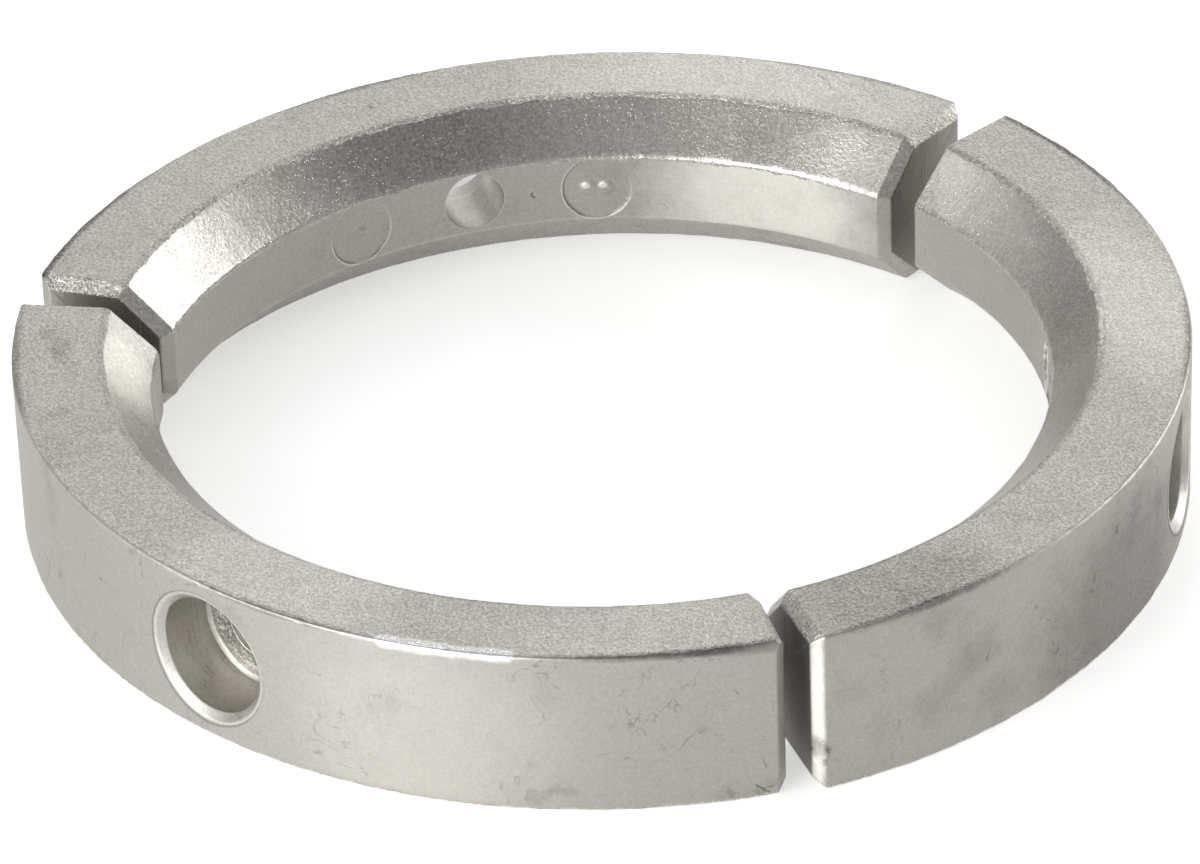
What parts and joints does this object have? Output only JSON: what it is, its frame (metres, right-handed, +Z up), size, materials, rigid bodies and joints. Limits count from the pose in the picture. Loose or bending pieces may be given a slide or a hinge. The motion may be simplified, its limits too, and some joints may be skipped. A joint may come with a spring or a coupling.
{
  "type": "sacrificial anode",
  "caption": "Split ring anode of cast zinc for a folding propeller's hub: arc segments with chamfered bores, bevelled ends and stepped radial screw holes.",
  "frame": {"origin": "middle of the ring's outline, on the surface it lies on", "axes": "+Z up, out of the flat top faces; +Y out along the back casting's screw hole; +X to its right seen from the front"},
  "size_m": [0.1061, 0.1049, 0.0157],
  "materials": {
    "cast_zinc": "cast zinc, bare, satin"
  },
  "bodies": {
    "root": {"segment_back": "cast_zinc", "segment_left": "cast_zinc", "segment_right": "cast_zinc"}
  },
  "joints": []
}
